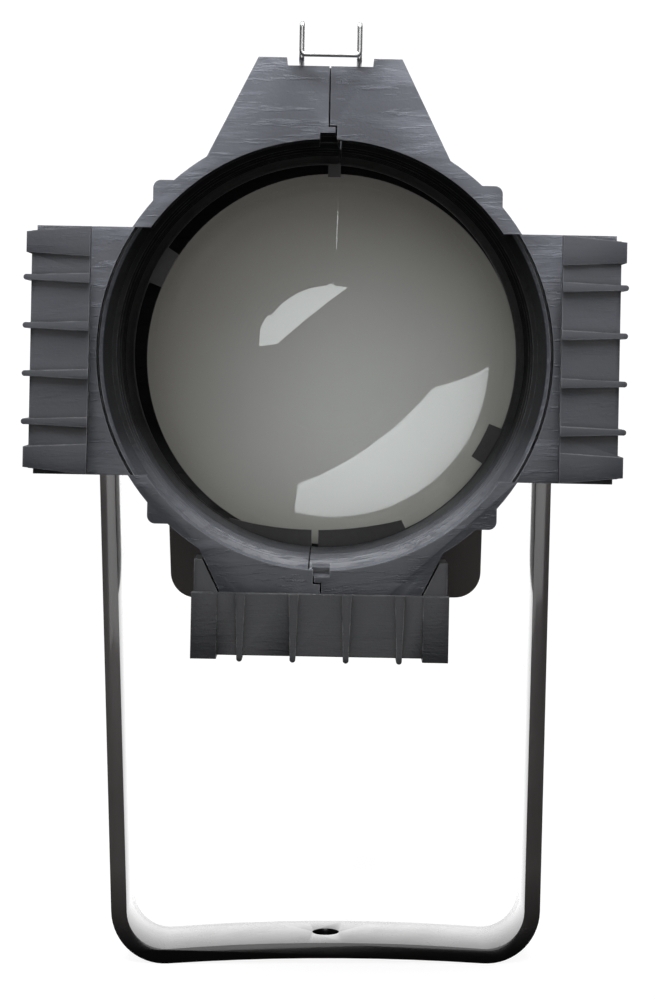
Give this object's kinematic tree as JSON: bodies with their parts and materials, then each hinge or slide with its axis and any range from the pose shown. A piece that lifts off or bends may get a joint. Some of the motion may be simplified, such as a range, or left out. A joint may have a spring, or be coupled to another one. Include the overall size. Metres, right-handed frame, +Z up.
{
  "type": "profile spotlight",
  "caption": "Stage profile spotlight with a split lens tube, framing shutters, colour frame slots and a flat-bar yoke that doubles as a floor stand.",
  "frame": {"origin": "centre of the hanging hole, on the underside of the yoke base", "axes": "+Z up along the hanging hole, whose bolt comes from below (-Z), the lens faces -Y, tilt axis along X"},
  "size_m": [0.2201, 0.5557, 0.3554],
  "materials": {
    "cast": "satin blue-grey powder coat on die-cast aluminium",
    "channel": "satin charcoal powder coat on die-cast aluminium",
    "yoke_paint": "satin black paint on steel bar",
    "skirt_paint": "dark brown-black paint on sheet steel",
    "housing_cast": "satin charcoal powder coat on die-cast aluminium",
    "fibre": "fibre friction washer",
    "knob": "black moulded phenolic",
    "zinc": "zinc-plated steel",
    "blackened": "blackened steel",
    "stainless": "stainless sheet, heat-tinted",
    "nickel": "bright nickel-plated spring wire",
    "lens_glass": "clear polished optical glass",
    "reflector_metal": "bright anodised aluminium",
    "plate": "rolled aluminium sheet",
    "grip": "black heat-resistant moulding",
    "ceramic": "unglazed lamp ceramic",
    "lamp_metal": "ground aluminium heat sink",
    "quartz": "clear quartz",
    "tungsten": "tungsten coil",
    "gland": "black polyamide"
  },
  "bodies": {
    "yoke": {"yoke": "yoke_paint", "friction_washers": "fibre"},
    "tilt_knob": {"tilt_knob": "knob", "tilt_knob_stud": "zinc"},
    "housing": {"pivot_bolt": "zinc", "pivot_bosses": "housing_cast", "bearing_ring": "housing_cast", "reflector_housing": "housing_cast", "housing_screws": "zinc", "reflector": "reflector_metal", "reflector_clips": "stainless", "lower_skirt": "skirt_paint", "skirt_brackets": "skirt_paint", "cable_gland": "gland", "safety_eye": "zinc", "rear_cap": "housing_cast"},
    "cap_screw": {"cap_screw": "zinc"},
    "lamp_carrier": {"lamp_carrier": "lamp_metal", "lamp_socket": "ceramic", "lamp_base": "lamp_metal", "lamp_envelope": "quartz", "lamp_filaments": "tungsten"},
    "peak_knob": {"peak_knob": "knob"},
    "barrel": {"barrel": "housing_cast", "gate_plate": "stainless", "shutter_guide": "stainless", "pattern_guide": "stainless"},
    "pattern_holder": {"pattern_holder": "plate"},
    "rotation_knob": {"rotation_knob": "knob", "rotation_knob_stud": "zinc"},
    "lens_tube": {"lens_tube_left": "cast", "lens_tube_right": "cast", "tube_screws": "blackened", "front_lens": "lens_glass", "lens_retainer": "blackened", "bottom_channel": "channel", "channel_screws": "blackened"},
    "focus_knob": {"focus_knob": "knob", "focus_knob_stud": "zinc"},
    "frame_clip": {"frame_clip": "nickel"},
    "shutter_top": {"shutter_top": "stainless", "shutter_grip_top": "grip"},
    "shutter_right": {"shutter_right": "stainless", "shutter_grip_right": "grip"},
    "shutter_bottom": {"shutter_bottom": "stainless", "shutter_grip_bottom": "grip"},
    "shutter_left": {"shutter_left": "stainless", "shutter_grip_left": "grip"}
  },
  "joints": [
    {"name": "tilt", "type": "hinge", "parent": "yoke", "child": "housing", "pos_m": [0, 0, 0.247], "axis": [1, 0, 0], "range_deg": [-60, 45]},
    {"name": "tilt_knob_turn", "type": "hinge", "parent": "housing", "child": "tilt_knob", "pos_m": [0.1, 0, 0.247], "axis": [1, 0, 0], "range_deg": [0, 180]},
    {"name": "barrel_rotate", "type": "hinge", "parent": "housing", "child": "barrel", "pos_m": [0, -0.03, 0.247], "axis": [0, 1, 0], "range_deg": [-26.1, 23.9]},
    {"name": "rotation_knob_turn", "type": "hinge", "parent": "housing", "child": "rotation_knob", "pos_m": [0, -0.026, 0.335], "axis": [0, 0, 1], "range_deg": [0, 180]},
    {"name": "lens_focus", "type": "slide", "parent": "barrel", "child": "lens_tube", "axis": [0, 1, 0], "range_m": [-0.018, 0.018]},
    {"name": "focus_knob_turn", "type": "hinge", "parent": "lens_tube", "child": "focus_knob", "pos_m": [0.07999, -0.135, 0.24546], "axis": [0.9998, 0, -0.0192], "range_deg": [0, 180]},
    {"name": "frame_clip_open", "type": "hinge", "parent": "lens_tube", "child": "frame_clip", "pos_m": [0.00161, -0.222, 0.33098], "axis": [0.9998, 0, -0.0192], "range_deg": [-100, 0]},
    {"name": "pattern_holder_lift", "type": "slide", "parent": "barrel", "child": "pattern_holder", "axis": [0.0192, 0, 0.9998], "range_m": [0, 0.13]},
    {"name": "peak_knob_turn", "type": "hinge", "parent": "housing", "child": "peak_knob", "pos_m": [0, 0.282, 0.247], "axis": [0, 1, 0], "range_deg": [-171.1, 171.1]},
    {"name": "lamp_slide", "type": "slide", "parent": "housing", "child": "lamp_carrier", "axis": [0, 1, 0], "range_m": [-0.0019, 0.0019]},
    {"name": "cap_screw_turn", "type": "hinge", "parent": "housing", "child": "cap_screw", "pos_m": [0, 0.23, 0.292], "axis": [0, 1, 0], "continuous": true},
    {"name": "shutter_top_pull", "type": "slide", "parent": "barrel", "child": "shutter_top", "axis": [0.0192, 0, 0.9998], "range_m": [0, 0.038]},
    {"name": "shutter_right_pull", "type": "slide", "parent": "barrel", "child": "shutter_right", "axis": [0.9998, 0, -0.0192], "range_m": [0, 0.038]},
    {"name": "shutter_bottom_pull", "type": "slide", "parent": "barrel", "child": "shutter_bottom", "axis": [-0.0192, 0, -0.9998], "range_m": [0, 0.038]},
    {"name": "shutter_left_pull", "type": "slide", "parent": "barrel", "child": "shutter_left", "axis": [-0.9998, 0, 0.0192], "range_m": [0, 0.038]}
  ],
  "couplings": [
    {"joint": "peak_knob_turn", "follows": "lamp_slide", "rad_per_m": 1570.8}
  ]
}
